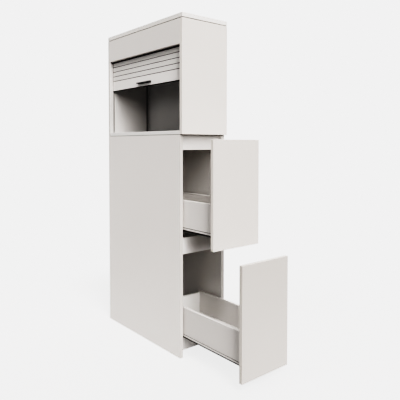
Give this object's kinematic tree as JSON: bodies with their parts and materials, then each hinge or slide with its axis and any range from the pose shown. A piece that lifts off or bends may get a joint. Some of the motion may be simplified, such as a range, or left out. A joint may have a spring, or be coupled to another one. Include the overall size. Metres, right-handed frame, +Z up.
{
  "type": "bathroom cabinet",
  "caption": "Tall narrow bathroom cabinet with a roller curtain compartment above and handleless deep drawers that pull out of the narrow end below.",
  "frame": {"origin": "on the floor at the centre of the base, in the middle of the foot insert pattern", "axes": "+Z up; -Y the wide face with the roller curtain, +Y towards the wall; +X the narrow end that the drawers pull out of"},
  "size_m": [1.166, 0.3, 1.734],
  "materials": {
    "lacquered_board": "satin off-white lacquer on board",
    "drawer_board": "matt white coated board",
    "coated_steel": "fine satin powder coat",
    "zinc_steel": "bright zinc plate",
    "dark_steel": "dark plated rolled steel",
    "brush_fibre": "black brush fringe on a carrier strip",
    "clear_pad": "soft translucent",
    "beech": "raw turned dowel",
    "track_plastic": "matt grey",
    "curtain_plastic": "satin off-white",
    "black_metal": "satin black",
    "seal_rubber": "matt"
  },
  "bodies": {
    "carcass": {"cam_fittings": "zinc_steel", "curtain_brush": "brush_fibre", "curtain_track_left": "track_plastic", "curtain_track_right": "track_plastic", "dowels": "beech", "fascia": "lacquered_board", "foot_inserts": "zinc_steel", "housing_board": "lacquered_board", "lower_bottom_board": "lacquered_board", "lower_end_panel": "lacquered_board", "lower_front_panel": "lacquered_board", "lower_rear_panel": "lacquered_board", "lower_runners": "dark_steel", "lower_top_board": "lacquered_board", "mid_rail": "lacquered_board", "module_bolts": "zinc_steel", "plinth": "lacquered_board", "runner_screws": "zinc_steel", "top_panel": "lacquered_board", "top_rail": "lacquered_board", "upper_back_panel": "lacquered_board", "upper_bottom_board": "lacquered_board", "upper_left_side": "lacquered_board", "upper_right_side": "lacquered_board", "upper_runners": "dark_steel", "wall_rail": "lacquered_board"},
    "upper_drawer": {"upper_drawer_back": "drawer_board", "upper_drawer_bottom": "drawer_board", "upper_drawer_brackets": "coated_steel", "upper_drawer_bumpers": "clear_pad", "upper_drawer_front": "lacquered_board", "upper_drawer_left_side": "coated_steel", "upper_drawer_right_side": "coated_steel", "upper_drawer_screws": "zinc_steel", "upper_drawer_slides": "dark_steel"},
    "upper_runner_mid": {"upper_runner_mids": "dark_steel"},
    "lower_drawer": {"lower_drawer_back": "drawer_board", "lower_drawer_bottom": "drawer_board", "lower_drawer_brackets": "coated_steel", "lower_drawer_bumpers": "clear_pad", "lower_drawer_front": "lacquered_board", "lower_drawer_left_side": "coated_steel", "lower_drawer_right_side": "coated_steel", "lower_drawer_screws": "zinc_steel", "lower_drawer_slides": "dark_steel"},
    "lower_runner_mid": {"lower_runner_mids": "dark_steel"},
    "curtain": {"curtain_bar": "curtain_plastic", "curtain_front_slats": "curtain_plastic", "curtain_pull": "black_metal", "curtain_seal": "seal_rubber", "pull_screws": "zinc_steel"},
    "slat_06": {"curtain_slat_06": "curtain_plastic"},
    "slat_07": {"curtain_slat_07": "curtain_plastic"},
    "slat_08": {"curtain_slat_08": "curtain_plastic"},
    "slat_09": {"curtain_slat_09": "curtain_plastic"},
    "slat_10": {"curtain_slat_10": "curtain_plastic"},
    "slat_11": {"curtain_slat_11": "curtain_plastic"},
    "slat_12": {"curtain_slat_12": "curtain_plastic"},
    "slat_13": {"curtain_slat_13": "curtain_plastic"},
    "slat_14": {"curtain_slat_14": "curtain_plastic"}
  },
  "joints": [
    {"name": "upper_drawer_slide", "type": "slide", "parent": "carcass", "child": "upper_drawer", "axis": [1, 0, 0], "range_m": [-0.233, 0.317]},
    {"name": "upper_runner_slide", "type": "slide", "parent": "carcass", "child": "upper_runner_mid", "axis": [1, 0, 0], "range_m": [-0.1166, 0.1586]},
    {"name": "lower_drawer_slide", "type": "slide", "parent": "carcass", "child": "lower_drawer", "axis": [1, 0, 0], "range_m": [-0.422, 0.128]},
    {"name": "lower_runner_slide", "type": "slide", "parent": "carcass", "child": "lower_runner_mid", "axis": [1, 0, 0], "range_m": [-0.2111, 0.0641]},
    {"name": "curtain_lift", "type": "slide", "parent": "carcass", "child": "curtain", "axis": [0, 0, 1], "range_m": [-0.252, 0.1]},
    {"name": "slat_06_path", "type": "slide", "parent": "carcass", "child": "slat_06", "axis": [0, 0.0517, 0.9987], "range_m": [-0.23241, 0.09229]},
    {"name": "slat_07_path", "type": "slide", "parent": "carcass", "child": "slat_07", "axis": [0, 0.1125, 0.9937], "range_m": [-0.21345, 0.08476]},
    {"name": "slat_08_path", "type": "slide", "parent": "carcass", "child": "slat_08", "axis": [0, 0.1843, 0.9829], "range_m": [-0.19545, 0.07762]},
    {"name": "slat_09_path", "type": "slide", "parent": "carcass", "child": "slat_09", "axis": [0, 0.2688, 0.9632], "range_m": [-0.17867, 0.07096]},
    {"name": "slat_10_path", "type": "slide", "parent": "carcass", "child": "slat_10", "axis": [0, 0.3672, 0.9302], "range_m": [-0.16351, 0.06495]},
    {"name": "slat_11_path", "type": "slide", "parent": "carcass", "child": "slat_11", "axis": [0, 0.4789, 0.8779], "range_m": [-0.15046, 0.05977]},
    {"name": "slat_12_path", "type": "slide", "parent": "carcass", "child": "slat_12", "axis": [0, 0.6, 0.8], "range_m": [-0.1401, 0.05566]},
    {"name": "slat_13_path", "type": "slide", "parent": "carcass", "child": "slat_13", "axis": [0, 0.722, 0.6919], "range_m": [-0.13307, 0.05286]},
    {"name": "slat_14_path", "type": "slide", "parent": "carcass", "child": "slat_14", "axis": [0, 0.8321, 0.5547], "range_m": [-0.1299, 0.05161]}
  ],
  "couplings": [
    {"joint": "upper_runner_slide", "follows": "upper_drawer_slide", "ratio": 0.5},
    {"joint": "lower_runner_slide", "follows": "lower_drawer_slide", "ratio": 0.5},
    {"joint": "slat_06_path", "follows": "curtain_lift", "ratio": 0.92187},
    {"joint": "slat_07_path", "follows": "curtain_lift", "ratio": 0.84664},
    {"joint": "slat_08_path", "follows": "curtain_lift", "ratio": 0.77518},
    {"joint": "slat_09_path", "follows": "curtain_lift", "ratio": 0.70862},
    {"joint": "slat_10_path", "follows": "curtain_lift", "ratio": 0.64847},
    {"joint": "slat_11_path", "follows": "curtain_lift", "ratio": 0.59666},
    {"joint": "slat_12_path", "follows": "curtain_lift", "ratio": 0.55556},
    {"joint": "slat_13_path", "follows": "curtain_lift", "ratio": 0.52764},
    {"joint": "slat_14_path", "follows": "curtain_lift", "ratio": 0.51508}
  ]
}
